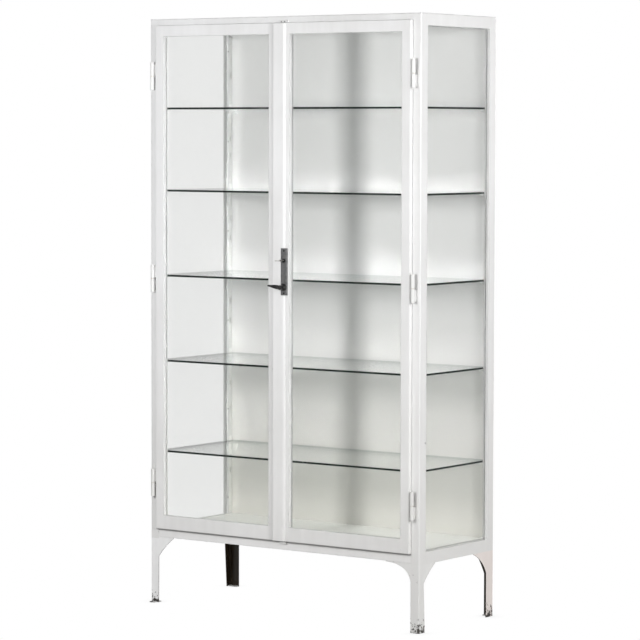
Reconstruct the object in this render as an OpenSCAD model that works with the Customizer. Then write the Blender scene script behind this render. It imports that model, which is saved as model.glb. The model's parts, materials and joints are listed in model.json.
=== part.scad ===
// Glass door medical cabinet: folded steel body on angle legs, glazed sides, two glazed doors
// hung on weld-on barrel hinges, five glass shelves and a lever bolt with a key lock.
// Millimetres. X runs to the right, Y to the back, Z up. Origin at floor level under the middle.

/* [Cabinet] */
// Width over the posts
cab_w = 1000; // [940:10:1060]
// Depth over the posts
cab_d = 400; // [380:5:430]
// Height over the top panel
cab_h = 1800; // [1760:10:1850]
// Height of the legs under the body
leg_h = 200; // [190:2:215]
// Furthest reach of the key in front of the posts
front_reach = 55; // [52:0.5:60]

/* [Body sheet] */
// Thickness of the post and rail sheet
post_t = 2; // [1.5:0.25:2.5]
// Visible width of a post from the front
post_front_w = 30; // [28.5:0.5:31]
// Visible width of a post from the side
post_side_w = 34; // [32:1:38]
// Height of the top and bottom side rails
rail_h = 36; // [35:0.5:37]
// Depth of the window recess in the sides
recess = 9; // [8:0.5:10]
// Radius of the outer corner folds
fold_r = 2.5; // [1:0.25:3]
// Thickness of the top, floor and back panels
panel_t = 1.5; // [1:0.25:1.5]

/* [Legs] */
// Width of a leg's front or rear face
leg_w = 29.5; // [28:0.25:32]
// Width of a leg's side face
leg_side_w = 27; // [25:0.5:32]
// Width of the rear right leg's side face
rear_right_side_w = 38; // [35:0.5:40]
// Width of the rear left leg's rear face
rear_left_w = 37; // [34:0.5:40]
// Narrowing of the rear left leg's side face towards the floor
rear_left_taper = 9; // [4:0.5:11]
// Reach of the brackets along the front
bracket_front = 88; // [80:1:95]
// Reach of the brackets along the side
bracket_side = 84; // [76:1:92]
// Drop of the brackets below the body
bracket_drop = 56; // [50:1:64]
// Reach of the front right leg's bracket along the front
bracket_right = 118; // [108:1:124]
// Drop of the front right leg's bracket on the front
bracket_right_drop = 53; // [46:1:58]
// Hollow of that bracket's curve, 0 is straight
bracket_right_dip = 0.22; // [0.1:0.01:0.3]
// Reach of the rear right leg's bracket along the side
bracket_rear = 108; // [100:1:114]
// Drop of the rear right leg's bracket on the side
bracket_rear_drop = 65; // [58:1:70]
// Hollow of the rear right leg's bracket on the side
bracket_rear_dip = 0.1; // [0:0.01:0.2]
// Reach of the rear right leg's bracket along the rear
bracket_rear_reach = 72; // [66:1:80]
// Drop of the rear right leg's bracket on the rear
bracket_rear_face_drop = 73; // [66:1:80]
// Hollow of the other bracket curves
bracket_dip = 0.04; // [0:0.01:0.2]
// Step from the foot of the side rails up to the lower edge of the aprons
apron_lift = 5; // [3:0.5:7]
// Thickness of the foot plates
foot_t = 3; // [2:0.5:5]
// Depth of the foot plates inside the legs
foot_d = 14; // [10:1:16]
// Reach of the floor tab in front of the front left leg
tab_reach = 15; // [10:1:20]

/* [Doors] */
// Part of each post left bare beside a door
door_side_gap = 28; // [27:0.25:28.25]
// Part of the top rail left bare above the doors
door_top_gap = 19.5; // [18.5:0.5:21]
// Height of the apron left bare below the doors
apron_bare = 31; // [28:0.5:31.5]
// Gap between the two doors
door_gap = 2; // [2:0.25:3]
// Thickness of a door in front of the posts
door_t = 12; // [11.5:0.25:12.5]
// Gap between a closed door and the posts
door_stand = 0.5; // [0.3:0.1:1]
// Thickness of the door sheet
sheet_t = 1.5; // [1.25:0.05:1.5]
// Width of the hinge stiles
hinge_stile = 31; // [30:0.5:34]
// Width of the meeting stiles
meet_stile = 37; // [36.5:0.25:38]
// Width of the top door rail
door_top_rail = 34; // [33:0.5:36]
// Width of the bottom door rail
door_bottom_rail = 44; // [42:1:48]
// Radius of the outer door edges
edge_r = 2.2; // [1:0.2:2.4]
// Overlap of the meeting strip on the left door
strip_left = 20; // [16:1:24]
// Width of the meeting strip on the right door
strip_right = 26; // [22:1:30]
// Width of the round on the right edge of the meeting strip
strip_round = 11; // [8:0.5:13]
// Thickness of the meeting strip
strip_t = 4; // [3:0.25:4.25]

/* [Glass] */
// Thickness of door and side glass
glass_t = 4; // [3:0.5:4]
// Thickness of the glass shelves
shelf_t = 6; // [5:0.5:8]
// Gap from the outer side face to a shelf
shelf_side = 19.5; // [19:0.5:22]
// Gap from the post face to a shelf
shelf_front = 24; // [20:1:30]
// Top of the lowest shelf above the body floor
shelf_1_up = 237; // [210:1:265]
// Top of the second shelf above the body floor
shelf_2_up = 518; // [490:1:545]
// Top of the third shelf above the body floor
shelf_3_up = 781; // [765:1:795]
// Top of the fourth shelf below the cabinet top
shelf_4_down = 521; // [490:1:550]
// Top of the highest shelf below the cabinet top
shelf_5_down = 269; // [240:1:300]
// Gap from a shelf to the back panel
shelf_back = 3; // [2:0.5:5]
// Pitch of the slots in the shelf uprights
slot_pitch = 100; // [85:5:115]
// Width of a corner support under a shelf
support_w = 16; // [13:0.5:18]
// Length of a corner support along the side
support_l = 46; // [40:1:52]
// Height of the stiffening lip of a corner support
support_lip = 10; // [7:0.5:12]
// Part of the side bead seen past the edge of the window
bead_reveal = 1.5; // [1:0.25:3]

/* [Hinges] */
// Distance of the hinge pin from the cabinet side
pin_in = 17.5; // [17:0.25:18]
// Distance of the hinge pin in front of the posts
pin_out = 13.5; // [13:0.25:14]
// Diameter of a hinge barrel
barrel_d = 12; // [11:0.25:13]
// Length of a whole hinge
barrel_h = 84; // [78:1:90]
// Diameter of a hinge pin
pin_d = 6; // [5:0.25:6.5]
// Running clearance of a pin or spindle in its hole
run_c = 0.05; // [0.02:0.01:0.09]
// Middle height of the lowest hinges
hinge_1_z = 374; // [360:2:390]
// Middle height of the middle hinges
hinge_2_z = 1006; // [1000:1:1014]
// Middle height of the top hinges
hinge_3_z = 1626; // [1600:2:1650]

/* [Lock] */
// Distance of the lever spindle right of the meeting line
lock_x = 22; // [21.5:0.25:22.5]
// Height of the lever spindle
lever_z = 995; // [980:1:1010]
// Height of the keyhole above the spindle
key_rise = 80; // [76:1:84]
// Width of the lock plate
plate_w = 23; // [21:0.5:26]
// Height of the lock plate
plate_h = 140; // [134:1:144]
// Distance of the plate's lower end below the spindle
plate_drop = 24; // [22:1:26]
// Thickness of the lock plate
plate_t = 4.5; // [4:0.25:5]
// Length of the lever from its spindle
lever_l = 43; // [38:1:50]
// Distance of the lever in front of the plate
lever_out = 20; // [18:1:24]
// Outer diameter of the keyhole boss
boss_d = 11; // [9:0.5:12]
// Width of the key's bow
bow_w = 20; // [17:0.5:24]

/* [Output] */
// Part to show

/* [Hidden] */
$fn = 48;
eps = 0.01;
half_w = cab_w / 2;
y_f = (front_reach - cab_d) / 2;
y_b = y_f + cab_d;
body_top = cab_h - panel_t;
rail_top = body_top;
floor_z = leg_h + rail_h;
apron_z = leg_h + apron_lift;
bracket_tip = 2;
// Face of a leg: bracket reach, bracket drop, hollow, width under the bracket, width at the floor
plain_face = [bracket_front, bracket_drop, bracket_dip, leg_w, leg_w - 1];
plain_side = [bracket_side, bracket_drop, bracket_dip, leg_side_w, leg_side_w];
front_right_face = [bracket_right, bracket_right_drop, bracket_right_dip, leg_w + 0.5, leg_w + 0.5];
front_right_side = [bracket_side, bracket_drop, bracket_dip, leg_side_w - 3, leg_side_w + 4];
rear_right_face = [bracket_rear_reach, bracket_rear_face_drop, bracket_dip, leg_w + 1, leg_w + 1];
rear_right_side = [
  bracket_rear, bracket_rear_drop, bracket_rear_dip, rear_right_side_w, rear_right_side_w
];
rear_left_face = [bracket_front, bracket_drop, bracket_dip, rear_left_w, rear_left_w];
rear_left_side = [bracket_side, bracket_drop, bracket_dip, leg_side_w, leg_side_w - rear_left_taper];
win_top = cab_h - rail_h;

door_x0 = -half_w + door_side_gap;
door_x1 = -door_gap / 2;
door_z0 = leg_h + apron_bare;
door_z1 = cab_h - door_top_gap;
open_x0 = door_x0 + hinge_stile;
open_x1 = door_x1 - meet_stile;
open_z0 = door_z0 + door_bottom_rail;
open_z1 = door_z1 - door_top_rail;
face_p = door_stand + door_t;
seat_p = -1.5;
seat_w = 8;
glass_gap = 1;
back_p = seat_p - glass_t - 5.5;
plate_p = face_p + plate_t;
strip_p0 = face_p + 0.5;
strip_p1 = face_p + strip_t;

pin_x = half_w - pin_in;
hinge_z = [hinge_1_z, hinge_2_z, hinge_3_z];
washer_t = 1;
half_barrel = (barrel_h - washer_t) / 2;
wing_p = pin_out - 7.5;
wing_t = 3.5;
shelf_z = [
  floor_z + shelf_1_up, floor_z + shelf_2_up, floor_z + shelf_3_up,
  cab_h - shelf_4_down, cab_h - shelf_5_down
];
key_z = lever_z + key_rise;
keep_h = 6;
keep_left = 15;
rod_w = 6;
rod_x = lock_x - 3;
rod_p0 = 2.6;
rod_t = 3;
rod_hole = 0.3;
dead_travel = 9;
dead_h = 12;
dead_p0 = 6.7;
dead_t = 3;
spindle_w = 5;
hub_r = 6;
screw_r = 1.75;
screw_z = [lever_z - plate_drop + 6, lever_z - plate_drop + plate_h - 7];
pinion_r = 6;
pinion_z = 12;
side_lip = 18;
// Length of the tongue of a post or side rail that the side glass rests on
tongue = 8;
bead_t = 4;
// Upright: width along the side, reach from the post's side flange, sheet
upright_w = post_side_w - tongue - post_t - panel_t - 0.5;
upright_d = 8.5;
upright_t = 1.5;
// Slot: distance from the post's outer face, width, height, rise over the underside of a shelf
slot_v = post_t + 7;
slot_w = 4;
slot_h = 16;
slot_rise = 1;
support_t = 2;

white = [0.88, 0.88, 0.87];
inner_white = [0.84, 0.85, 0.83];
glass_c = [0.80, 0.90, 0.87, 0.30];
steel_c = [0.45, 0.45, 0.46];
dark_c = [0.20, 0.20, 0.21];
brass_c = [0.70, 0.60, 0.35];

// ---------- helpers ----------

// Box from one corner to the other
module span(a, b) {
  translate(a)
    cube(b - a);
}

// Box on the front, given by X, by distance p in front of the posts, and by Z
module fspan(x0, x1, p0, p1, z0, z1) {
  span([x0, y_f - p1, z0], [x1, y_f - p0, z1]);
}

// Flat ring on the front: a rectangle grown by b less the same rectangle grown by a
module fring(x0, x1, z0, z1, a, b, p0, p1) {
  difference() {
    fspan(x0 - b, x1 + b, p0, p1, z0 - b, z1 + b);
    fspan(x0 - a, x1 + a, p0 - 1, p1 + 1, z0 - a, z1 + a);
  }
}

// Square bar less a quarter round, for taking an edge off; the edge lies on Z
module edge_cutter(r, l) {
  difference() {
    translate([-1, -1, 0])
      cube([r + 1, r + 1, l]);
    translate([r, r, -1])
      cylinder(r = r, h = l + 2);
  }
}

// Round bar along Y, standing out to the front from p0 to p1
module fcyl(x, z, r, p0, p1) {
  translate([x, y_f - p0, z])
    rotate([90, 0, 0])
      cylinder(r = r, h = p1 - p0);
}

// Right-hand copy of a left-hand piece
module right_side() {
  mirror([1, 0, 0])
    children();
}

// Rear copy of a front piece
module rear_side() {
  translate([0, y_f + y_b, 0])
    mirror([0, 1, 0])
      children();
}

// ---------- legs ----------

// Bracket curve from the leg to the underside of the body; dip hollows it out
function bracket_curve(x0, x1, z0, z1, dip, n) =
  [for (i = [0 : n])
    let (s = i / n, bow = 4 * s * (1 - s) * dip)
    [x0 + (x1 - x0) * (s - bow), z0 + (z1 - z0) * (s + bow)]];

// One face of a leg with its bracket, drawn flat with the corner on the left; beyond the post it
// rises above the leg's top
module leg_face(f, rise) {
  top = leg_h + rise;
  polygon(concat(
    [[0, 0], [f[4], 0]],
    bracket_curve(f[3], f[0], leg_h - f[1], top - bracket_tip, f[2], 12),
    [[f[0], top]],
    rise > 0 ? [[post_front_w, top], [post_front_w, leg_h]] : [],
    [[0, leg_h]]
  ));
}

// Folded leg with the outer corner on the Z axis; its front bracket rises to the apron
module leg(face, side) {
  translate([-half_w, y_f, 0])
    difference() {
      union() {
        translate([0, post_t, 0])
          rotate([90, 0, 0])
            linear_extrude(post_t)
              leg_face(face, apron_lift);
        rotate([90, 0, 90])
          linear_extrude(post_t)
            leg_face(side, 0);
      }
      translate([0, 0, -1])
        edge_cutter(fold_r, leg_h + 2);
    }
}

module front_left_leg() {
  color(white)
    leg(plain_face, plain_side);
}

module front_right_leg() {
  color(white)
    right_side()
      leg(front_right_face, front_right_side);
}

module rear_left_leg() {
  color(white)
    rear_side()
      leg(rear_left_face, rear_left_side);
}

module rear_right_leg() {
  color(white)
    right_side()
      rear_side()
        leg(rear_right_face, rear_right_side);
}

// Bare steel plate in the foot of a leg, w wide
module foot_plate(w) {
  translate([-half_w, y_f, 0])
    span([post_t, post_t, 0], [w - 1.5, foot_d, foot_t]);
}

module foot_plates() {
  color(dark_c) {
    foot_plate(leg_w);
    difference() {
      fspan(-half_w + 5, -half_w + 23, 0, tab_reach, 0, foot_t);
      translate([-half_w + 14, y_f - tab_reach / 2, -1])
        cylinder(d = 5.5, h = foot_t + 2);
    }
    right_side()
      foot_plate(leg_w);
    rear_side() {
      foot_plate(rear_left_w);
      right_side()
        foot_plate(leg_w);
    }
  }
}

// ---------- posts and rails ----------

// Folded post outline: front flange, side flange, window recess and glass seat
module post_outline() {
  difference() {
    union() {
      square([post_front_w, post_t]);
      square([post_t, post_side_w]);
      translate([0, post_side_w - post_t])
        square([recess, post_t]);
      translate([recess - post_t, post_side_w - tongue])
        square([post_t, tongue]);
    }
    difference() {
      translate([-1, -1])
        square(fold_r + 1);
      translate([fold_r, fold_r])
        circle(r = fold_r);
    }
  }
}

module left_post() {
  translate([-half_w, y_f, leg_h])
    linear_extrude(body_top - leg_h)
      post_outline();
}

module front_left_post() {
  color(white)
    left_post();
}

module front_right_post() {
  color(white)
    right_side()
      left_post();
}

module rear_left_post() {
  color(white)
    rear_side()
      left_post();
}

module rear_right_post() {
  color(white)
    right_side()
      rear_side()
        left_post();
}

// Angle rail along the front between the posts, with its lip turned inwards
module front_rail(z0, z1, lip_z) {
  fspan(-half_w + post_front_w, half_w - post_front_w, -post_t, 0, z0, z1);
  fspan(-half_w + post_front_w, half_w - post_front_w, -12, 0, lip_z, lip_z + post_t);
}

module front_top_rail() {
  color(white)
    front_rail(cab_h - rail_h, rail_top, rail_top - post_t);
}

module front_apron() {
  color(white)
    front_rail(apron_z, floor_z, apron_z);
}

module rear_top_rail() {
  color(white)
    rear_side()
      front_rail(cab_h - rail_h, rail_top, rail_top - post_t);
}

module rear_apron() {
  color(white)
    rear_side()
      front_rail(apron_z, floor_z, apron_z);
}

// Folded side rail outline in X and Z, with the window edge at height 0 and the flange going up
module side_rail_outline(h) {
  square([post_t, h]);
  square([recess, post_t]);
  translate([recess - post_t, 0])
    square([post_t, tongue]);
}

// Side rail laid between the posts, with a lip that stiffens it and, above, carries the top panel
module side_rail(z, up) {
  h = rail_h - (up > 0 ? panel_t : 0);
  translate([-half_w, y_b - post_side_w, z])
    rotate([90, 0, 0])
      linear_extrude(cab_d - 2 * post_side_w)
        mirror([0, up > 0 ? 0 : 1])
          union() {
            side_rail_outline(h);
            translate([0, h - post_t])
              square([side_lip, post_t]);
          }
}

module left_top_rail() {
  color(white)
    side_rail(win_top, 1);
}

module right_top_rail() {
  color(white)
    right_side()
      side_rail(win_top, 1);
}

module left_bottom_rail() {
  color(white)
    side_rail(floor_z, -1);
}

module right_bottom_rail() {
  color(white)
    right_side()
      side_rail(floor_z, -1);
}

// ---------- panels ----------

module top_panel() {
  color(white)
    difference() {
      span([-half_w, y_f, body_top], [half_w, y_b, cab_h]);
      for (i = [0, 1])
        for (j = [0, 1])
          mirror([i, 0, 0])
            translate([-half_w, j > 0 ? y_b : y_f, body_top - 1])
              mirror([0, j, 0])
                edge_cutter(fold_r, panel_t + 2);
    }
}

// Floor tray: flat floor with its edges turned down onto the lips of the aprons
module floor_pan() {
  x = half_w - recess - glass_t - 0.5;
  y0 = y_f + post_t;
  y1 = y_b - post_t - panel_t;
  z0 = apron_z + post_t;
  color(inner_white)
    difference() {
      span([-x, y0, z0], [x, y1, floor_z]);
      span([-x + panel_t, y0 + panel_t, z0 - 1], [x - panel_t, y1 - panel_t, floor_z - panel_t]);
    }
}

module back_panel() {
  x = half_w - recess - 1;
  color(inner_white)
    span([-x, y_b - post_t - panel_t, apron_z + post_t + 1], [x, y_b - post_t, rail_top - post_t - 1]);
}

// ---------- side windows ----------

module side_glass() {
  span([-half_w + recess, y_f + post_side_w - 7, floor_z - 7],
       [-half_w + recess + glass_t, y_b - post_side_w + 7, win_top + 7]);
}

// Bead strips screwed round the inside of a side window
module side_beads() {
  x0 = -half_w + recess + glass_t;
  in_y = y_f + post_side_w + bead_reveal;
  difference() {
    span([x0, y_f + post_side_w - 6, floor_z + 0.5],
         [x0 + bead_t, y_b - post_side_w + 6, win_top + 6]);
    span([x0 - 1, in_y, floor_z + 3],
         [x0 + bead_t + 1, y_f + y_b - in_y, win_top - bead_reveal]);
    for (j = [0, 1])
      translate([x0 + bead_t, j * (y_f + y_b), 0])
        mirror([0, j, 0])
          translate([0, in_y, floor_z])
            rotate([0, 0, 45])
              cube([2, 2, 2 * cab_h], center = true);
  }
}

module left_side_glass() {
  color(glass_c)
    side_glass();
}

module right_side_glass() {
  color(glass_c)
    right_side()
      side_glass();
}

module left_side_beads() {
  color(white)
    side_beads();
}

module right_side_beads() {
  color(white)
    right_side()
      side_beads();
}

// ---------- shelves ----------

// Glass shelf with ground corners
module shelf(z) {
  x = half_w - shelf_side;
  y0 = y_f + shelf_front;
  y1 = y_b - post_t - panel_t - shelf_back;
  c = 3;
  color(glass_c)
    translate([0, 0, z - shelf_t])
      linear_extrude(shelf_t)
        polygon([
          [-x + c, y0], [x - c, y0], [x, y0 + c], [x, y1 - c],
          [x - c, y1], [-x + c, y1], [-x, y1 - c], [-x, y0 + c]
        ]);
}

module shelf_1() {
  shelf(shelf_z[0]);
}

module shelf_2() {
  shelf(shelf_z[1]);
}

module shelf_3() {
  shelf(shelf_z[2]);
}

module shelf_4() {
  shelf(shelf_z[3]);
}

module shelf_5() {
  shelf(shelf_z[4]);
}

// Slotted channel standing in a front corner against the side flange, its web facing the shelves
module front_upright() {
  z1 = win_top - 10;
  t = upright_t;
  translate([-half_w + post_t, y_f + post_t, 0])
    difference() {
      span([0, 0, floor_z], [upright_d, upright_w, z1]);
      span([-1, t, floor_z - 1], [upright_d - t, upright_w - t, z1 + 1]);
      for (z = shelf_z)
        for (k = [-1 : 1])
          support_slot(z - shelf_t + k * slot_pitch);
    }
}

// Slot that the prong of a shelf support enters
module support_slot(z) {
  v = slot_v - post_t;
  span([0, v, z + slot_rise], [upright_d + 1, v + slot_w, z + slot_rise + slot_h]);
}

module rear_upright() {
  translate([0, -panel_t, 0])
    rear_side()
      front_upright();
}

module shelf_uprights() {
  color(white) {
    front_upright();
    rear_upright();
    right_side() {
      front_upright();
      rear_upright();
    }
  }
}

// Pressed corner support: plate under the shelf, foot on the upright with a prong, and stiffening lips
module support(z) {
  u0 = post_t + upright_d;
  u1 = shelf_side + support_w;
  v0 = post_t + 2;
  v1 = post_t + upright_w;
  v2 = v0 + support_l;
  t = support_t;
  translate([-half_w, y_f, z]) {
    translate([0, 0, -t])
      linear_extrude(t)
        polygon([[u0, v0], [u1, v0], [u1, v2], [shelf_side, v2], [shelf_side, v1], [u0, v1]]);
    span([u0, v0, -t - 12], [u0 + t, v1 - 2, slot_rise + slot_h + 2]);
    span([u0 - 3, slot_v + 0.3, slot_rise + 1], [u0 + 0.5, slot_v + slot_w - 0.3, slot_rise + 10]);
    span([u0, v0, -support_lip], [u1, v0 + t, 0]);
    translate([u1, v0, 0])
      rotate([90, 0, -90])
        linear_extrude(t)
          polygon([[0, 0], [-support_l, 0], [-support_l, -t], [0, -support_lip]]);
  }
}

module shelf_supports() {
  color(white)
    for (z = shelf_z) {
      support(z - shelf_t);
      right_side()
        support(z - shelf_t);
      translate([0, -panel_t, 0])
        rear_side() {
          support(z - shelf_t);
          right_side()
            support(z - shelf_t);
        }
    }
}

// ---------- hinges ----------

// Lower half of a weld-on hinge with its saddle on the post
module hinge_socket(z) {
  difference() {
    union() {
      translate([-pin_x, y_f - pin_out, z - washer_t / 2 - half_barrel])
        cylinder(d = barrel_d, h = half_barrel);
      fspan(-pin_x - 3.5, -pin_x + 3.5, 0, pin_out - 2, z - washer_t / 2 - half_barrel + 3,
            z - washer_t / 2 - 3);
    }
    translate([-pin_x, y_f - pin_out, z - half_barrel + 8])
      cylinder(d = pin_d, h = half_barrel);
  }
}

// Upper half of a weld-on hinge with its wing on the door edge
module hinge_cap(z) {
  difference() {
    union() {
      translate([-pin_x, y_f - pin_out, z + washer_t / 2])
        cylinder(d = barrel_d, h = half_barrel);
      fspan(-pin_x, door_x0, wing_p, wing_p + wing_t, z + washer_t / 2 + 3,
            z + washer_t / 2 + half_barrel - 3);
    }
    translate([-pin_x, y_f - pin_out, z - 1])
      cylinder(d = pin_d + 2 * run_c, h = half_barrel - 6);
  }
}

module hinge_pin(z) {
  translate([-pin_x, y_f - pin_out, z - half_barrel + 8])
    cylinder(d = pin_d, h = 2 * half_barrel - 22);
  translate([-pin_x, y_f - pin_out, z + half_barrel - 14])
    cylinder(d1 = pin_d, d2 = pin_d - 3, h = 2);
}

module hinge_washer(z) {
  translate([-pin_x, y_f - pin_out, z - washer_t / 2])
    difference() {
      cylinder(d = barrel_d - 0.6, h = washer_t);
      translate([0, 0, -1])
        cylinder(d = pin_d + 0.2, h = washer_t + 2);
    }
}

module left_hinge_sockets() {
  color(white)
    for (z = hinge_z)
      hinge_socket(z);
}

module right_hinge_sockets() {
  color(white)
    right_side()
      for (z = hinge_z)
        hinge_socket(z);
}

module left_hinge_caps() {
  color(white)
    for (z = hinge_z)
      hinge_cap(z);
}

module right_hinge_caps() {
  color(white)
    right_side()
      for (z = hinge_z)
        hinge_cap(z);
}

module hinge_pins() {
  color(steel_c)
    for (z = hinge_z) {
      hinge_pin(z);
      right_side()
        hinge_pin(z);
    }
}

module hinge_washers() {
  color(brass_c)
    for (z = hinge_z) {
      hinge_washer(z);
      right_side()
        hinge_washer(z);
    }
}

// ---------- doors ----------

// Edge cutters all round a rectangle on the door face; out is 1 for its outer side
module edge_ring(x0, x1, z0, z1, r) {
  for (i = [0, 1]) {
    translate([i > 0 ? x1 : x0, y_f - face_p, z0 - 5])
      mirror([i, 0, 0])
        edge_cutter(r, z1 - z0 + 10);
    translate([x0 - 5, y_f - face_p, i > 0 ? z1 : z0])
      mirror([0, 0, i])
        rotate([90, 0, 90])
          edge_cutter(r, x1 - x0 + 10);
  }
}

// Left door: one sheet folded into face, edges, reveal, glass seat and back flange
module door_shell() {
  t = sheet_t;
  difference() {
    union() {
      difference() {
        fspan(door_x0, door_x1, door_stand, face_p, door_z0, door_z1);
        fspan(door_x0 + t, door_x1 - t, door_stand - 1, face_p - t, door_z0 + t, door_z1 - t);
      }
      difference() {
        fspan(door_x0, door_x1, door_stand, door_stand + t, door_z0, door_z1);
        fspan(door_x0 + seat_w, door_x1 - seat_w, door_stand - 1, face_p, door_z0 + seat_w,
              door_z1 - seat_w);
      }
      fring(open_x0, open_x1, open_z0, open_z1, 0, t, seat_p, face_p - eps);
      fring(open_x0, open_x1, open_z0, open_z1, 0, seat_w + t, seat_p, seat_p + t);
      fring(open_x0, open_x1, open_z0, open_z1, seat_w, seat_w + t, back_p, seat_p + t);
      fring(open_x0, open_x1, open_z0, open_z1, seat_w, seat_w + 4.5, back_p, back_p + t);
    }
    fspan(open_x0, open_x1, seat_p - 1, face_p + 1, open_z0, open_z1);
    edge_ring(door_x0, door_x1, door_z0, door_z1, edge_r);
  }
}

module door_glass() {
  g = seat_w - glass_gap;
  fspan(open_x0 - g, open_x1 + g, seat_p - glass_t, seat_p, open_z0 - g, open_z1 + g);
}

// Four bead bars behind the glass with their inner edge taken off
module door_beads() {
  difference() {
    fring(open_x0, open_x1, open_z0, open_z1, 0.8, seat_w, back_p, seat_p - glass_t);
    for (i = [0, 1]) {
      translate([i > 0 ? open_x1 + 0.8 : open_x0 - 0.8, y_f - back_p, 0])
        rotate([0, 0, 45])
          cube([4, 4, 3 * cab_h], center = true);
      translate([0, y_f - back_p, i > 0 ? open_z1 + 0.8 : open_z0 - 0.8])
        rotate([45, 0, 0])
          cube([2 * cab_w, 4, 4], center = true);
    }
  }
}

module left_door_frame() {
  color(white)
    difference() {
      door_shell();
      fspan(door_x1 - 3, door_x1 + 1, dead_p0 - 0.4, dead_p0 + dead_t + 0.4, key_z - dead_h / 2 - 1,
            key_z + dead_h / 2 + 1);
    }
}

module right_door_frame() {
  color(white)
    difference() {
      right_side()
        door_shell();
      fspan(-door_x1 - 1, -door_x1 + 3, dead_p0 - 0.3, dead_p0 + dead_t + 0.3,
            key_z - dead_h / 2 - 0.5, key_z + dead_h / 2 + 0.5);
      fcyl(lock_x, lever_z, hub_r + 1, face_p - 3, face_p + 1);
      keyhole(face_p - 3, face_p + 1, 3.5, 3.5);
      screw_holes(face_p - 3, face_p + 1);
      fspan(rod_x - rod_w / 2 - rod_hole, rod_x + rod_w / 2 + rod_hole, rod_p0 - rod_hole,
            rod_p0 + rod_t + rod_hole, door_z0 - 1, door_z0 + 3);
      fspan(rod_x - rod_w / 2 - rod_hole, rod_x + rod_w / 2 + rod_hole, rod_p0 - rod_hole,
            rod_p0 + rod_t + rod_hole, door_z1 - 3, door_z1 + 1);
    }
}

module left_door_glass() {
  color(glass_c)
    door_glass();
}

module right_door_glass() {
  color(glass_c)
    right_side()
      door_glass();
}

module left_door_beads() {
  color(white)
    door_beads();
}

module right_door_beads() {
  color(white)
    right_side()
      door_beads();
}

// Outline of the strip from above: flat to the left, sloping off in a long round to the right
function strip_outline(flat) = concat(
  [
    [strip_right, -face_p], [door_gap / 2 + edge_r, -face_p], [door_gap / 2 + edge_r, -strip_p0],
    [-strip_left, -strip_p0], [-strip_left, -strip_p1 + 1.2], [-strip_left + 1.2, -strip_p1]
  ],
  [for (i = [0 : 7])
    let (a = 90 - 90 * i / 8)
    [flat + (strip_right - flat) * cos(a), -face_p - strip_t * sin(a)]]
);

// Strip on the right door that covers the gap and laps over the left door
module meeting_strip() {
  z0 = door_z0 + 1.5;
  color(white)
    difference() {
      translate([0, y_f, z0])
        linear_extrude(door_z1 - 1.5 - z0)
          polygon(strip_outline(strip_right - strip_round));
      fspan(lock_x - plate_w / 2 - 0.3, strip_right + 1, face_p - 1, strip_p1 + 1,
            lever_z - plate_drop - 0.3, lever_z - plate_drop + plate_h + 0.3);
    }
}

// Flat strip closing the back of the right meeting stile
module stile_cover() {
  color(white)
    fspan(door_gap / 2 + 2, -open_x1 - seat_w - sheet_t - 0.3, door_stand - 1, door_stand,
          open_z0 - seat_w - 3, open_z1 + seat_w - 3);
}

// ---------- lock ----------

// Keyhole cut: round hole with a slot below it
module keyhole(p0, p1, r, w) {
  fcyl(lock_x, key_z, r, p0, p1);
  fspan(lock_x - w / 2, lock_x + w / 2, p0, p1, key_z - 9, key_z);
}

module lock_plate() {
  x0 = lock_x - plate_w / 2;
  z0 = lever_z - plate_drop;
  color(steel_c)
    difference() {
      fspan(x0, x0 + plate_w, face_p, plate_p, z0, z0 + plate_h);
      for (i = [0, 1]) {
        translate([i > 0 ? x0 + plate_w : x0, y_f - plate_p, z0 - 1])
          mirror([i, 0, 0])
            edge_cutter(1.5, plate_h + 2);
        translate([x0 - 1, y_f - plate_p, i > 0 ? z0 + plate_h : z0])
          mirror([0, 0, i])
            rotate([90, 0, 90])
              edge_cutter(1.5, plate_w + 2);
      }
      fcyl(lock_x, lever_z, hub_r + run_c, face_p - 1, plate_p + 1);
      keyhole(face_p - 1, plate_p + 1, 2.25 + run_c, 2.4);
      screw_holes(face_p - 1, plate_p + 1);
    }
}

// Raised ring round the keyhole
module keyhole_boss() {
  color(dark_c)
    difference() {
      fcyl(lock_x, key_z, boss_d / 2, plate_p, plate_p + 3);
      keyhole(plate_p - 1, plate_p + 4, 2.25 + run_c, 2.4);
    }
}

// Clearance holes of the plate screws
module screw_holes(p0, p1) {
  for (z = screw_z)
    fcyl(lock_x, z, screw_r + run_c, p0, p1);
}

// Round-headed screws with a straight slot
module lock_screws() {
  color(dark_c)
    for (z = screw_z)
      difference() {
        union() {
          fcyl(lock_x, z, screw_r, face_p - sheet_t - 1.5, plate_p);
          intersection() {
            fcyl(lock_x, z, 3.2, plate_p, plate_p + 1.6);
            translate([lock_x, y_f - plate_p + 2.4, z])
              sphere(r = 4);
          }
        }
        fspan(lock_x - 4, lock_x + 4, plate_p + 0.9, plate_p + 3, z - 0.4, z + 0.4);
      }
}

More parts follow.
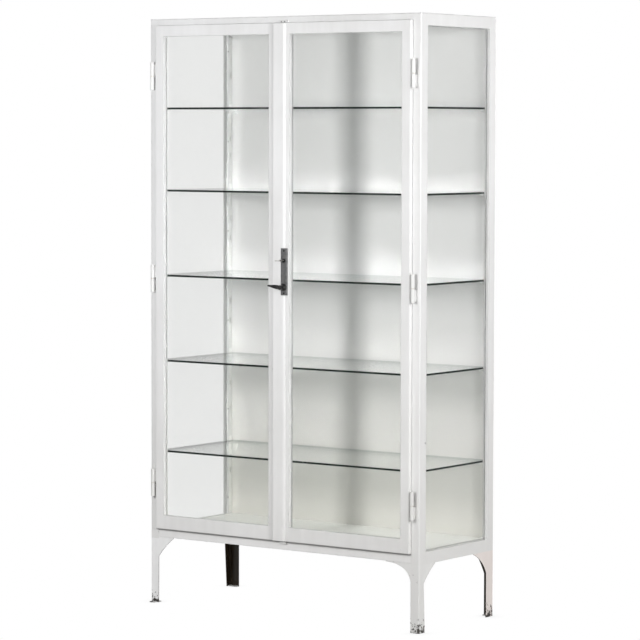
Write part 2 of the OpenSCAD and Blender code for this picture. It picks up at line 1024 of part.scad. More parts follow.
// Lock body: base plate, guide lugs for the rods and a guide for the dead bolt
module lock_case() {
  top = face_p - sheet_t;
  base = top - 1;
  x0 = door_gap / 2 + 3;
  x1 = -open_x1 - 2.5;
  z0 = lever_z - 42;
  z1 = key_z + 42;
  color(steel_c)
    difference() {
      union() {
        fspan(x0, x1, base, top, z0, z1);
        fspan(rod_x - 6, rod_x + 6, rod_p0 - 0.4, base, z0, z0 + 6);
        fspan(rod_x - 6, rod_x + 6, rod_p0 - 0.4, base, z1 - 6, z1);
        fspan(x0, x0 + 3, rod_p0 - 0.4, base, key_z - dead_h / 2 - 5, key_z + dead_h / 2 + 5);
      }
      fspan(rod_x - rod_w / 2 - 0.1, rod_x + rod_w / 2 + 0.1, rod_p0 - 1, rod_p0 + rod_t + 0.1,
            z0 - 1, z1 + 1);
      fspan(x0 - 1, x0 + 4, dead_p0 - 0.1, dead_p0 + dead_t + 0.1, key_z - dead_h / 2 - 0.1,
            key_z + dead_h / 2 + 0.1);
      fcyl(lock_x, lever_z, hub_r + 1, base - 1, top + 1);
      keyhole(base - 1, top + 1, 3.5, 3.5);
      screw_holes(base - 1, top + 1);
    }
}

// Lever turned to a drop-shaped grip on a round hub
module lever_handle() {
  p_axis = plate_p + lever_out;
  grip = [for (i = [0 : 16])
    let (s = i / 16)
    [2.2 + 4.6 * pow(sin(180 * pow(s, 0.62)), 1) * (1 - 0.45 * s), s * lever_l]];
  color(dark_c)
    difference() {
      union() {
        fcyl(lock_x, lever_z, hub_r, face_p - 2, plate_p + 1);
        fcyl(lock_x, lever_z, 11, plate_p + 0.3, plate_p + 3);
        translate([lock_x, y_f - plate_p - 3, lever_z])
          rotate([90, 0, 0])
            cylinder(r1 = 9.5, r2 = 6, h = 5);
        fcyl(lock_x, lever_z, 5.5, plate_p + 3, p_axis);
        translate([lock_x, y_f - p_axis, lever_z])
          sphere(r = 6.8);
        translate([lock_x, y_f - p_axis, lever_z])
          rotate([0, -84, 0])
            rotate_extrude()
              polygon(concat([[0, 0]], grip, [[0, lever_l]]));
        translate([lock_x, y_f - p_axis, lever_z])
          rotate([0, -84, 0])
            translate([0, 0, lever_l])
              sphere(r = 2.6);
      }
      fspan(lock_x - spindle_w / 2, lock_x + spindle_w / 2, 0, plate_p + 10, lever_z - spindle_w / 2,
            lever_z + spindle_w / 2);
    }
}

module spindle() {
  color(steel_c)
    fspan(lock_x - spindle_w / 2, lock_x + spindle_w / 2, rod_p0 - 0.2, plate_p + 10,
          lever_z - spindle_w / 2, lever_z + spindle_w / 2);
}

// Involute helpers in degrees
function inv_deg(a) = tan(a) * 180 / PI - a;

function flank_at(r, rb, half) = half + inv_deg(20) - inv_deg(acos(min(1, rb / r)));

// Pinion outline with slim involute teeth
module pinion_outline() {
  m = 2 * pinion_r / pinion_z;
  rb = pinion_r * cos(20);
  ra = pinion_r + 0.85 * m;
  rd = pinion_r - 1.15 * m;
  half = 90 / pinion_z - 1.4;
  steps = 4;
  radii = [for (i = [0 : steps])
    rb + (ra - rb) * i / steps];
  polygon([for (k = [0 : pinion_z - 1])
    let (c = k * 360 / pinion_z)
    for (q = concat(
      [[rd, c - flank_at(rb, rb, half) - 1]],
      [for (r = radii)
        [r, c - flank_at(r, rb, half)]],
      [for (i = [steps : -1 : 0])
        [radii[i], c + flank_at(radii[i], rb, half)]],
      [[rd, c + flank_at(rb, rb, half) + 1]]))
      [q[0] * cos(q[1]), q[0] * sin(q[1])]]);
}

module drive_pinion() {
  color(brass_c)
    translate([lock_x, y_f - rod_p0, lever_z])
      rotate([90, 0, 0])
        linear_extrude(rod_t)
          difference() {
            pinion_outline();
            square(spindle_w, center = true);
          }
}

// Rack outline standing on the pitch line at X = 0, teeth pointing to -X, from z0 to z1
module rack_outline(z0, z1, w) {
  m = 2 * pinion_r / pinion_z;
  pitch = PI * m;
  add = 0.65 * m;
  ded = 1.05 * m;
  root = 0.5 * pitch / 2 - 0.08 + ded * tan(20);
  tip = 0.5 * pitch / 2 - 0.08 - add * tan(20);
  difference() {
    translate([-add, z0])
      square([w + add, z1 - z0]);
    for (k = [-6 : 6])
      translate([0, k * pitch])
        polygon([
          [-add - 1, -(pitch / 2 - tip) - 0.36], [ded, -(pitch / 2 - root)],
          [ded, pitch / 2 - root], [-add - 1, pitch / 2 - tip + 0.36]
        ]);
  }
}

// Flat bar with a rack beside the pinion and a crank over to the rod's own line
module rod_bar(side, z_end) {
  up = side;
  x_out = lock_x + side * (pinion_r + 5);
  translate([0, y_f - rod_p0, 0])
    rotate([90, 0, 0])
      linear_extrude(rod_t)
        union() {
          translate([lock_x + side * pinion_r, lever_z])
            scale([side, up])
              rack_outline(-14.5, 24, 5);
          translate([min(x_out, rod_x - rod_w / 2), lever_z + (up > 0 ? 18 : -24)])
            square([max(x_out, rod_x + rod_w / 2) - min(x_out, rod_x - rod_w / 2), 6]);
          translate([rod_x - rod_w / 2, up > 0 ? lever_z + 18 : z_end])
            square([rod_w, up > 0 ? z_end - lever_z - 18 : lever_z - 18 - z_end]);
        }
}

module upper_rod() {
  color(steel_c)
    rod_bar(1, door_z1 - 2);
}

module lower_rod() {
  color(steel_c)
    rod_bar(-1, door_z0 + 2);
}

// Keep that the rod shoots into, standing on the rail in front of the posts
module keep(z0) {
  x0 = rod_x - rod_w / 2 - keep_left;
  color(white)
    difference() {
      fspan(x0, rod_x + 5.5, 0, rod_p0 + rod_t + 2, z0, z0 + keep_h);
      fspan(rod_x - rod_w / 2 - rod_hole, rod_x + rod_w / 2 + rod_hole, rod_p0 - rod_hole,
            rod_p0 + rod_t + rod_hole, z0 - 1, z0 + keep_h + 1);
    }
}

module top_keep() {
  keep(door_z1 + 1);
}

module bottom_keep() {
  keep(door_z0 - 1 - keep_h);
}

// Warded key: bit, shank and a flat oval bow
module key() {
  p_bow = front_reach - 8;
  color(steel_c)
    union() {
      fcyl(lock_x, key_z, 2.25, dead_p0, p_bow - 6);
      fspan(lock_x, lock_x + 6.5, dead_p0 + 0.3, dead_p0 + dead_t - 0.3, key_z - 1, key_z + 1);
      fcyl(lock_x, key_z, 3.2, plate_p + 9, plate_p + 11);
      translate([lock_x, y_f - p_bow, key_z])
        scale([bow_w / 16, 1, 1])
          difference() {
            translate([0, 0, -1])
              cylinder(r = 8, h = 2);
            translate([0, 0, -2])
              cylinder(r = 5, h = 4);
          }
    }
}

// Sliding bolt with a slot for the key's shank and a notch for its bit
module dead_bolt() {
  color(brass_c)
    difference() {
      fspan(door_gap / 2 + 0.5, lock_x + 13.5, dead_p0, dead_p0 + dead_t, key_z - dead_h / 2,
            key_z + dead_h / 2);
      fspan(lock_x - 2.8, lock_x + dead_travel + 2.8, dead_p0 - 1, dead_p0 + dead_t + 1,
            key_z - 2.8, key_z + 2.8);
      fspan(lock_x + 0.5, lock_x + 9, dead_p0 - 1, dead_p0 + dead_t + 1, key_z - dead_h,
            key_z);
    }
}

front_left_leg();
front_right_leg();
rear_left_leg();
rear_right_leg();
foot_plates();
front_left_post();
front_right_post();
rear_left_post();
rear_right_post();
front_top_rail();
front_apron();
rear_top_rail();
rear_apron();
left_top_rail();
right_top_rail();
left_bottom_rail();
right_bottom_rail();
top_panel();
floor_pan();
back_panel();
left_side_glass();
right_side_glass();
left_side_beads();
right_side_beads();
shelf_1();
shelf_2();
shelf_3();
shelf_4();
shelf_5();
shelf_uprights();
shelf_supports();
left_hinge_sockets();
right_hinge_sockets();
hinge_pins();
hinge_washers();
top_keep();
bottom_keep();
left_door_frame();
left_door_glass();
left_door_beads();
left_hinge_caps();
right_door_frame();
right_door_glass();
right_door_beads();
right_hinge_caps();
meeting_strip();
stile_cover();
lock_plate();
keyhole_boss();
lock_screws();
lock_case();
lever_handle();
spindle();
drive_pinion();
upper_rod();
lower_rod();
key();
dead_bolt();
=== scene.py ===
import json
import math
import random

import bmesh
import bpy
from mathutils import Matrix, Vector


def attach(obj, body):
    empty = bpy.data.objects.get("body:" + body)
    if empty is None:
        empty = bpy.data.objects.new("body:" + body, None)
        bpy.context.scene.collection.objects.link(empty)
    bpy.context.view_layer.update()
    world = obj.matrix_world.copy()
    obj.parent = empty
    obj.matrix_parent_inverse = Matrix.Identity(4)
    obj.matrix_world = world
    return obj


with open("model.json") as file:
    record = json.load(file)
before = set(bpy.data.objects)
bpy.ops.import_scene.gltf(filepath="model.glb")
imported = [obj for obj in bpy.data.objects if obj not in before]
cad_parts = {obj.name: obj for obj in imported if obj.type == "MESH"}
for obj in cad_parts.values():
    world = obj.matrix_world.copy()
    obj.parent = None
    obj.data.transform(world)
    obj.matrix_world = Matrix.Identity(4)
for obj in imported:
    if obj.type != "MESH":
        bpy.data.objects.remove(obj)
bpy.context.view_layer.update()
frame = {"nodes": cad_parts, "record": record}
nodes = frame["nodes"]
scene = bpy.context.scene


def span(name):
    """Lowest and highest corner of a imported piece, in metres."""
    obj = nodes[name]
    points = [obj.matrix_world @ Vector(corner) for corner in obj.bound_box]
    return [Vector([pick(p[axis] for p in points) for axis in range(3)]) for pick in (min, max)]


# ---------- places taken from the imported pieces, in metres ----------
ACROSS, DEPTH, UP = 0, 1, 2
FRONT_Y = span("front_left_post")[0].y
BACK_Y = span("rear_left_post")[1].y
LEFT_X = span("front_left_post")[0].x
LEG_TOP = span("front_left_post")[0].z
DOOR_BOTTOM = span("left_door_frame")[0].z
STRIP_LEFT = span("meeting_strip")[0].x


# ---------- camera, solved from the cabinet's corners in the photograph ----------
CAMERA_PLACE = (5.21621, FRONT_Y - 7.04145, 1.45805)
YAW = 0.6243211
PITCH = 0.0640525
ROLL = 0.0021779
FOCAL_PX = 2937.185
PHOTO_PX = 640
SENSOR_MM = 36.0


def make_camera():
    """Camera at the photograph's viewing angle."""
    level = math.cos(PITCH)
    forward = Vector((-math.sin(YAW) * level, math.cos(YAW) * level, -math.sin(PITCH)))
    right = forward.cross(Vector((0, 0, 1))).normalized()
    up = right.cross(forward).normalized()
    rolled_right = right * math.cos(ROLL) + up * math.sin(ROLL)
    rolled_up = up * math.cos(ROLL) - right * math.sin(ROLL)
    data = bpy.data.cameras.new("camera")
    data.sensor_width = SENSOR_MM
    data.sensor_fit = "HORIZONTAL"
    data.lens = FOCAL_PX / PHOTO_PX * SENSOR_MM
    data.clip_end = 60.0
    camera = bpy.data.objects.new("camera", data)
    scene.collection.objects.link(camera)
    turn = Matrix((rolled_right, rolled_up, -forward)).transposed().to_4x4()
    camera.matrix_world = Matrix.Translation(CAMERA_PLACE) @ turn
    scene.camera = camera


# ---------- node helpers ----------
def new_material(name):
    """Empty node material, its tree and its output node."""
    mat = bpy.data.materials.new(name)
    mat.use_nodes = True
    nt = mat.node_tree
    nt.nodes.clear()
    return mat, nt, nt.nodes.new("ShaderNodeOutputMaterial")


def add(nt, kind, inputs=None, **settings):
    """Node with its input values and its own settings."""
    node = nt.nodes.new(kind)
    for key, value in settings.items():
        setattr(node, key, value)
    for key, value in (inputs or {}).items():
        node.inputs[key].default_value = value
    return node


def calc(nt, op, *values):
    """Math node on numbers or sockets."""
    node = add(nt, "ShaderNodeMath", operation=op)
    for socket, value in zip(node.inputs, values):
        if isinstance(value, (int, float)):
            socket.default_value = value
        else:
            nt.links.new(value, socket)
    return node.outputs[0]


def mix_color(nt, share, a, b, blend="MIX"):
    """Colour a where share is 0 and b where it is 1; each is a colour or a socket."""
    node = add(nt, "ShaderNodeMix", data_type="RGBA", blend_type=blend)
    nt.links.new(share, node.inputs[0])
    for socket, value in ((node.inputs[6], a), (node.inputs[7], b)):
        if isinstance(value, tuple):
            socket.default_value = (*value, 1.0)
        else:
            nt.links.new(value, socket)
    return node.outputs[2]


def mix_shader(nt, share, a, b):
    """Shader a where share is 0 and b where it is 1."""
    node = nt.nodes.new("ShaderNodeMixShader")
    nt.links.new(share, node.inputs[0])
    nt.links.new(a, node.inputs[1])
    nt.links.new(b, node.inputs[2])
    return node.outputs[0]


def ramp(nt, value, *stops):
    """Grey levels between stops, each a position from 0 to 1 and a level."""
    node = nt.nodes.new("ShaderNodeValToRGB")
    elements = node.color_ramp.elements
    while len(elements) < len(stops):
        elements.new(0.5)
    for element, (position, level) in zip(elements, stops):
        element.position = position
        element.color = (level, level, level, 1.0)
    nt.links.new(value, node.inputs[0])
    return node.outputs[0]


def coords(nt, scale=(1, 1, 1), offset=(0, 0, 0)):
    """Place on the object, stretched and moved."""
    tex = nt.nodes.new("ShaderNodeTexCoord")
    mapping = add(nt, "ShaderNodeMapping", {"Scale": scale, "Location": offset})
    nt.links.new(tex.outputs["Object"], mapping.inputs["Vector"])
    return mapping.outputs[0]


def noise(nt, vec, scale, detail, rough, distortion=0.0):
    """Noise from 0 to 1."""
    values = {"Scale": scale, "Detail": detail, "Roughness": rough, "Distortion": distortion}
    node = add(nt, "ShaderNodeTexNoise", values)
    nt.links.new(vec, node.inputs["Vector"])
    return node.outputs["Fac"]


def bump(nt, height, strength, distance, normal=None):
    """Normal that follows height, on top of another normal if one is given."""
    node = add(nt, "ShaderNodeBump", {"Strength": strength, "Distance": distance})
    nt.links.new(height, node.inputs["Height"])
    if normal is not None:
        nt.links.new(normal, node.inputs["Normal"])
    return node.outputs[0]


def split(nt, vector):
    """The three components of a vector."""
    node = nt.nodes.new("ShaderNodeSeparateXYZ")
    nt.links.new(vector, node.inputs[0])
    return node.outputs


def place_of(nt, axis):
    """One coordinate of the point, in metres: across, in depth or above the floor."""
    return split(nt, nt.nodes.new("ShaderNodeTexCoord").outputs["Object"])[axis]


def facing_of(nt, axis):
    """One component of the face's own normal."""
    return split(nt, nt.nodes.new("ShaderNodeNewGeometry").outputs["True Normal"])[axis]


# ---------- enamel ----------
EDGE_RADIUS = 0.0028
CREVICE_REACH = 0.003
# Colour of the painted shade in tight corners and gaps
PAINTED_CREVICE_SHADE = (0.16, 0.145, 0.13)
# Colour of bare worn iron, also used for the painted shadow under the doors
BARE_IRON_AND_SILL_SHADOW = (0.030, 0.026, 0.022)
UNPAINTED_INSIDE = (0.022, 0.013, 0.004)
# Paler colour of the rear posts' front faces: painted light
PAINTED_FRONT_LIGHT = (0.96, 0.96, 0.95)
# Painted shadow under the doors, with their lower edge worn bare: height over the doors' lower edge, and how
# dark
SILL_SHADOW_AND_WEAR = ((-0.0048, 0.0), (-0.0032, 1.0), (0.0015, 1.0), (0.0035, 0.0))
SILL_DARKNESS = 0.85
# Wear of the feet: height over the floor, and how far it goes
FOOT_WEAR = ((0.008, 1.0), (0.040, 0.30), (0.11, 0.0))
# Painted shadow of the cover strip: the left door's stile darkens from the first to the second distance left
# of the strip
STILE_SHADE = (0.024, 0.012)
# Turns of the streaks' noise per metre, and how much clouds and streaks count in the tone
STREAKS = (38, 38, 2.2)
CLOUD_SHARE = 0.65
STREAK_SHARE = 0.35
# How much the fine orange peel counts beside the broad waves, and how deep worn spots lie in them
PEEL_SHARE = 0.25
WORN_DEPTH = 0.8


def soft_edge(nt):
    """Normal that rounds off edges, and a mask that is 1 on them; none where legs meet the posts."""
    bevel = add(nt, "ShaderNodeBevel", {"Radius": EDGE_RADIUS}, samples=4)
    plain = nt.nodes.new("ShaderNodeNewGeometry").outputs["Normal"]
    dot = add(nt, "ShaderNodeVectorMath", operation="DOT_PRODUCT")
    nt.links.new(bevel.outputs[0], dot.inputs[0])
    nt.links.new(plain, dot.inputs[1])
    edge = ramp(nt, dot.outputs["Value"], (0.80, 1.0), (0.985, 0.0))
    off = calc(nt, "ABSOLUTE", calc(nt, "SUBTRACT", place_of(nt, UP), LEG_TOP))
    near = calc(nt, "LESS_THAN", off, EDGE_RADIUS * 1.2)
    upright = calc(nt, "LESS_THAN", calc(nt, "ABSOLUTE", facing_of(nt, UP)), 0.5)
    joint = calc(nt, "MULTIPLY", near, upright)
    normal = add(nt, "ShaderNodeMix", data_type="VECTOR")
    nt.links.new(joint, normal.inputs[0])
    nt.links.new(bevel.outputs[0], normal.inputs[4])
    nt.links.new(plain, normal.inputs[5])
    return normal.outputs[1], calc(nt, "MULTIPLY", edge, calc(nt, "SUBTRACT", 1.0, joint))


def crevice(nt):
    """1 in tight corners and gaps, where painted shade darkens the enamel; 0 on open faces."""
    values = {"Distance": CREVICE_REACH}
    ao = add(nt, "ShaderNodeAmbientOcclusion", values, samples=6, only_local=True)
    return ramp(nt, ao.outputs["AO"], (0.25, 1.0), (0.80, 0.0))


def facing_middle(nt):
    """1 on the faces of a leg that look towards the middle of the cabinet, 0 on its outer faces."""
    middle = {ACROSS: 0.0, DEPTH: (FRONT_Y + BACK_Y) / 2}
    inward = []
    for axis, centre in middle.items():
        off = calc(nt, "SUBTRACT", place_of(nt, axis), centre)
        inward.append(calc(nt, "MULTIPLY", off, facing_of(nt, axis)))
    return calc(nt, "LESS_THAN", calc(nt, "MINIMUM", *inward), -0.02)


def enamel_tone(nt, vec, seed, color, warm, side_shade_slant, low_shade, low_shade_top):
    """Cloudy, faintly streaked colour, with painted shade: one side leans to the darker colour, and from a
    given height down to the legs the colour is darkened, lightened or tinted.
    """
    cloud = noise(nt, vec, 3.2, 4.0, 0.55)
    streak = noise(nt, coords(nt, STREAKS, (seed, 0, 0)), 1.0, 3.0, 0.5)
    cloud = calc(nt, "MULTIPLY", cloud, CLOUD_SHARE)
    tone = calc(nt, "ADD", cloud, calc(nt, "MULTIPLY", streak, STREAK_SHARE))
    # Painted shade across the width: one side leans to the darker colour
    tone = calc(nt, "MULTIPLY_ADD", place_of(nt, ACROSS), side_shade_slant, tone)
    base = mix_color(nt, ramp(nt, tone, (0.30, 0.0), (0.70, 1.0)), warm, color)
    # Painted shade towards the legs: darker and warmer low down, or lighter on some pieces
    low = ramp(nt, place_of(nt, UP), (LEG_TOP, 1.0), (low_shade_top, 0.0))
    return mix_color(nt, low, base, low_shade, "MULTIPLY")


def worn_spots(nt, vec, edge, chips):
    """1 where the enamel is off: along the edges, and in chips that grow with chips."""
    fine = noise(nt, vec, 62.0, 3.0, 0.62, 0.4)
    patch = noise(nt, vec, 7.5, 2.0, 0.5)
    worn = calc(nt, "MULTIPLY", edge, ramp(nt, patch, (0.55, 0.0), (0.70, 1.0)))
    worn = calc(nt, "MULTIPLY", worn, ramp(nt, fine, (0.50, 0.0), (0.56, 1.0)))
    if chips > 0:
        small = ramp(nt, fine, (0.72 - chips, 0.0), (0.735 - chips, 1.0))
        spots = calc(nt, "MULTIPLY", small, ramp(nt, patch, (0.60, 0.0), (0.66, 1.0)))
        worn = calc(nt, "MAXIMUM", worn, spots)
    return worn


def worn_feet(nt, vec):
    """1 where the feet are rubbed bare, with a ragged upper edge."""
    reach = ramp(nt, place_of(nt, UP), *FOOT_WEAR)
    rag = ramp(nt, noise(nt, vec, 95.0, 4.0, 0.65, 0.3), (0.40, 0.0), (0.62, 1.0))
    foot = calc(nt, "MULTIPLY", calc(nt, "ADD", reach, rag), 0.5)
    return ramp(nt, foot, (0.62, 0.0), (0.68, 1.0))


def sill_shadow_and_wear_mask(nt):
    """Painted shadow under the doors, with their lower edge worn bare."""
    stops = [(DOOR_BOTTOM + over, level) for over, level in SILL_SHADOW_AND_WEAR]
    return calc(nt, "MULTIPLY", ramp(nt, place_of(nt, UP), *stops), SILL_DARKNESS)


def beside_strip(nt):
    """Rises from 0 to 1 towards the cover strip, for its painted shadow; one metre is added so that no place
    is below 0.
    """
    start, end = (1.0 + STRIP_LEFT - distance for distance in STILE_SHADE)
    return ramp(nt, calc(nt, "ADD", place_of(nt, ACROSS), 1.0), (start, 0.0), (end, 1.0))


def paint(name, color, warm, rough, seed, chips=0.0, wear=0.4, crevice_shade=0.3, side_shade_slant=-0.35,
          low_shade=(0.915, 0.908, 0.893), low_shade_top=1.0, stile_shade=1.0, rubbed_feet=False,
          sill_shadow_and_wear=False, painted_front_light=False, dark_inside=False):
    """Brushed and stoved enamel: cloudy tone, orange peel, worn edges and chips, and painted shade in the
    gaps, across the width and towards the legs; some pieces add painted shadow or light.
    """
    mat, nt, out = new_material(name)
    values = {"IOR": 1.5, "Coat Weight": 0.2, "Coat Roughness": 0.10}
    shader = add(nt, "ShaderNodeBsdfPrincipled", values)
    nt.links.new(shader.outputs[0], out.inputs[0])
    vec = coords(nt, offset=(seed, seed * 0.7, seed * 1.3))
    normal, edge = soft_edge(nt)

    worn = calc(nt, "MULTIPLY", worn_spots(nt, vec, edge, chips), wear)
    if rubbed_feet:
        worn = calc(nt, "MAXIMUM", worn, worn_feet(nt, vec))
    # The painted shadow under the doors joins the worn mask and takes the bare iron colour
    if sill_shadow_and_wear:
        worn = calc(nt, "MAXIMUM", worn, sill_shadow_and_wear_mask(nt))

    base = enamel_tone(nt, vec, seed, color, warm, side_shade_slant, low_shade, low_shade_top)
    # Painted shadow of the cover strip on the left door's stile
    if stile_shade < 1.0:
        base = mix_color(nt, beside_strip(nt), base, (stile_shade,) * 3, "MULTIPLY")
    # Painted shade in tight corners and gaps
    base = mix_color(nt, calc(nt, "MULTIPLY", crevice(nt), crevice_shade), base, PAINTED_CREVICE_SHADE)
    base = mix_color(nt, worn, base, BARE_IRON_AND_SILL_SHADOW)
    # Painted light: the rear posts' faces that look to the front are paler
    if painted_front_light:
        base = mix_color(nt, calc(nt, "LESS_THAN", facing_of(nt, DEPTH), -0.5), base, PAINTED_FRONT_LIGHT)
    if dark_inside:
        base = mix_color(nt, facing_middle(nt), base, UNPAINTED_INSIDE)
    nt.links.new(base, shader.inputs["Base Color"])

    polish = calc(nt, "MULTIPLY_ADD", noise(nt, vec, 22.0, 4.0, 0.6), 0.16, rough - 0.08)
    nt.links.new(calc(nt, "MULTIPLY_ADD", worn, 0.3, polish), shader.inputs["Roughness"])
    peel = calc(nt, "MULTIPLY", noise(nt, vec, 420.0, 2.0, 0.5), PEEL_SHARE)
    height = calc(nt, "ADD", peel, noise(nt, vec, 9.0, 2.0, 0.5))
    height = calc(nt, "SUBTRACT", height, calc(nt, "MULTIPLY", worn, WORN_DEPTH))
    nt.links.new(bump(nt, height, 0.16, 0.0012, normal), shader.inputs["Normal"])
    return mat


# ---------- bare metal ----------
DARK_STEEL = (0.10, 0.095, 0.09)
LIGHT_STEEL = (0.34, 0.33, 0.32)
OLD_FOOT_PAINT = (0.52, 0.515, 0.505)
TAB_REACH = 0.016
COARSE_SHARE = 0.6
FINE_SHARE = 0.4


def metal(name, dark, light, rough, metallic=1.0, scale=60.0):
    """Worn bare metal: mottled tone and uneven polish."""
    mat, nt, out = new_material(name)
    shader = add(nt, "ShaderNodeBsdfPrincipled", {"Metallic": metallic})
    nt.links.new(shader.outputs[0], out.inputs[0])
    vec = coords(nt)
    coarse = noise(nt, vec, scale, 5.0, 0.6)
    fine = noise(nt, vec, scale * 5.5, 3.0, 0.6)
    coarse = calc(nt, "MULTIPLY", coarse, COARSE_SHARE)
    tone = calc(nt, "ADD", coarse, calc(nt, "MULTIPLY", fine, FINE_SHARE))
    tone = ramp(nt, tone, (0.34, 0.0), (0.66, 1.0))
    nt.links.new(mix_color(nt, tone, dark, light), shader.inputs["Base Color"])
    nt.links.new(calc(nt, "MULTIPLY_ADD", tone, -0.16, rough + 0.08), shader.inputs["Roughness"])
    nt.links.new(bump(nt, fine, 0.25, 0.0006), shader.inputs["Normal"])
    return mat


def foot_steel():
    """Steel of the feet: bare and dark on the front left tab, pale with old paint elsewhere."""
    mat = metal("steel_feet", DARK_STEEL, LIGHT_STEEL, 0.42)
    nt = mat.node_tree
    shader = next(node for node in nt.nodes if node.type == "BSDF_PRINCIPLED")
    bare = shader.inputs["Base Color"].links[0].from_socket
    at_left = calc(nt, "LESS_THAN", place_of(nt, ACROSS), LEFT_X + TAB_REACH)
    at_front = calc(nt, "LESS_THAN", place_of(nt, DEPTH), 0.0)
    tab = calc(nt, "MULTIPLY", at_left, at_front)
    nt.links.new(mix_color(nt, tab, OLD_FOOT_PAINT, bare), shader.inputs["Base Color"])
    nt.links.new(tab, shader.inputs["Metallic"])
    return mat


# ---------- glass ----------
SQUARE_MIRROR = 0.035
SCHLICK_POWER = 5.0
CLEAN_ROUGHNESS = 0.004
PANE_SMEAR = 0.05
SHELF_SMEAR = 0.06
PANE_TINT = (0.964, 0.966, 0.964)
SHELF_TINT = (0.965, 0.978, 0.970)
DEEP_GREEN = (0.003, 0.008, 0.006)
LIGHT_GREEN = (0.014, 0.028, 0.022)
# Paler colour of the shelves' rear edges: painted light
REAR_EDGE_PAINTED_LIGHT = (0.20, 0.25, 0.23)
REAR_EDGE = 0.02


def mirror_share(nt):
    """Share of light that clean glass mirrors: least at a square view, rising towards grazing."""
    facing = add(nt, "ShaderNodeLayerWeight", {"Blend": 0.5}).outputs["Facing"]
    grazing = calc(nt, "POWER", facing, SCHLICK_POWER)
    return calc(nt, "MULTIPLY_ADD", grazing, 1.0 - SQUARE_MIRROR, SQUARE_MIRROR)


def clear_surface(nt, vec, tint, smear):
    """Glass that is seen straight through, with a thin mirror film and soft smears."""
    clear = add(nt, "ShaderNodeBsdfTransparent", {"Color": (*tint, 1.0)})
    gloss = add(nt, "ShaderNodeBsdfGlossy", {"Color": (1, 1, 1, 1)})
    film = noise(nt, vec, 5.0, 4.0, 0.6)
    nt.links.new(calc(nt, "MULTIPLY_ADD", film, smear, CLEAN_ROUGHNESS), gloss.inputs["Roughness"])
    nt.links.new(bump(nt, noise(nt, vec, 2.5, 1.0, 0.4), 0.05, 0.002), gloss.inputs["Normal"])
    return mix_shader(nt, mirror_share(nt), clear.outputs[0], gloss.outputs[0])


def pane_glass():
    """Clear float glass of the doors and the sides."""
    mat, nt, out = new_material("pane_glass")
    nt.links.new(clear_surface(nt, coords(nt), PANE_TINT, PANE_SMEAR), out.inputs[0])
    return mat


def shelf_glass():
    """Shelf glass: clear faces, and ground edges that look dark green through their depth, the rear edges
    paler with painted light.
    """
    mat, nt, out = new_material("shelf_glass_green")
    vec = coords(nt)
    edge = add(nt, "ShaderNodeBsdfPrincipled", {"IOR": 1.5, "Specular IOR Level": 0.3})
    tone = ramp(nt, noise(nt, vec, 26.0, 4.0, 0.6), (0.35, 0.0), (0.68, 1.0))
    green = mix_color(nt, tone, DEEP_GREEN, LIGHT_GREEN)
    # Painted light on the shelves' rear edges
    at_rear = calc(nt, "GREATER_THAN", place_of(nt, DEPTH), BACK_Y - REAR_EDGE)
    nt.links.new(mix_color(nt, at_rear, green, REAR_EDGE_PAINTED_LIGHT), edge.inputs["Base Color"])
    nt.links.new(calc(nt, "MULTIPLY_ADD", tone, 0.15, 0.12), edge.inputs["Roughness"])
    flat = calc(nt, "GREATER_THAN", calc(nt, "ABSOLUTE", facing_of(nt, UP)), 0.5)
    face = clear_surface(nt, vec, SHELF_TINT, SHELF_SMEAR)
    nt.links.new(mix_shader(nt, flat, edge.outputs[0], face), out.inputs[0])
    return mat


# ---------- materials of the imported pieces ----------
BODY = dict(color=(0.766, 0.767, 0.770), warm=(0.655, 0.653, 0.650), rough=0.34, seed=0.3, chips=0.015)
LEG = dict(BODY, rough=0.36, seed=0.9, chips=0.05, wear=1.0, rubbed_feet=True, dark_inside=True)
INSIDE = dict(rough=0.42, seed=2.1)
FITTING = dict(INSIDE, crevice_shade=0.1, side_shade_slant=0.0, low_shade=(1.0, 0.995, 0.965))
ROSY_LEG = dict(LEG, color=(0.805, 0.745, 0.730), warm=(0.690, 0.635, 0.615))

slot_material = {
    "white_paint": paint("enamel_white", **BODY),
    "leg_paint": paint("enamel_legs", **LEG),
    "inner_paint": paint("enamel_inside", (0.855, 0.851, 0.847), (0.830, 0.826, 0.821), **INSIDE,
                         crevice_shade=0.2, side_shade_slant=0.05, low_shade=(0.84, 0.83, 0.78), low_shade_top=0.95),
    "hinge_paint": paint("enamel_hinges", (0.69, 0.69, 0.685), (0.60, 0.60, 0.59), rough=0.34,
                         seed=4.4, chips=0.05),
    "clear_glass": pane_glass(),
    "shelf_glass": shelf_glass(),
    "bare_steel": metal("steel_bare", DARK_STEEL, LIGHT_STEEL, 0.42),
    "lock_steel": metal("steel_plate", (0.10, 0.10, 0.10), (0.22, 0.22, 0.22), 0.46, 0.7, 90.0),
    "key_steel": metal("steel_key", (0.20, 0.195, 0.185), (0.50, 0.49, 0.47), 0.35),
    "dark_iron": metal("iron_black", (0.010, 0.010, 0.010), (0.045, 0.044, 0.043), 0.38, 0.6, 120.0),
    "brass_parts": metal("brass_dull", (0.42, 0.37, 0.29), (0.68, 0.62, 0.53), 0.36),
}

rear_post_paint = paint("enamel_rear_posts", **BODY, painted_front_light=True)
